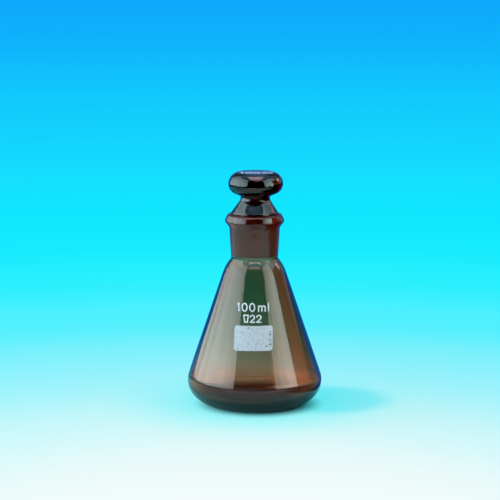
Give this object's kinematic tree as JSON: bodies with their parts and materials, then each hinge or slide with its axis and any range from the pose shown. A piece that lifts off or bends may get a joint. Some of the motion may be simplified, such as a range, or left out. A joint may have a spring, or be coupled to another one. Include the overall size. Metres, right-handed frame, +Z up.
{
  "type": "stoppered conical flask",
  "caption": "Amber glass conical laboratory flask with a rounded heel, a ground taper neck with a beaded mouth, and a solid mushroom-head glass stopper that lifts out.",
  "frame": {"origin": "centre of the base, on the surface the flask stands on", "axes": "+Z up along the common axis of flask and stopper; -Y towards the viewer, the side with the writing field"},
  "size_m": [0.064, 0.064, 0.112],
  "materials": {
    "amber_glass": "fire-polished clear amber glass, ground matt inside the neck, white fired enamel field on the front",
    "amber_glass_solid": "polished dark amber glass, ground matt on the plug"
  },
  "bodies": {
    "flask": {"flask": "amber_glass", "flask_neck": "amber_glass"},
    "stopper": {"stopper": "amber_glass_solid"}
  },
  "joints": [
    {"name": "stopper_lift", "type": "slide", "parent": "flask", "child": "stopper", "axis": [0, 0, 1], "range_m": [0, 0.04]}
  ]
}
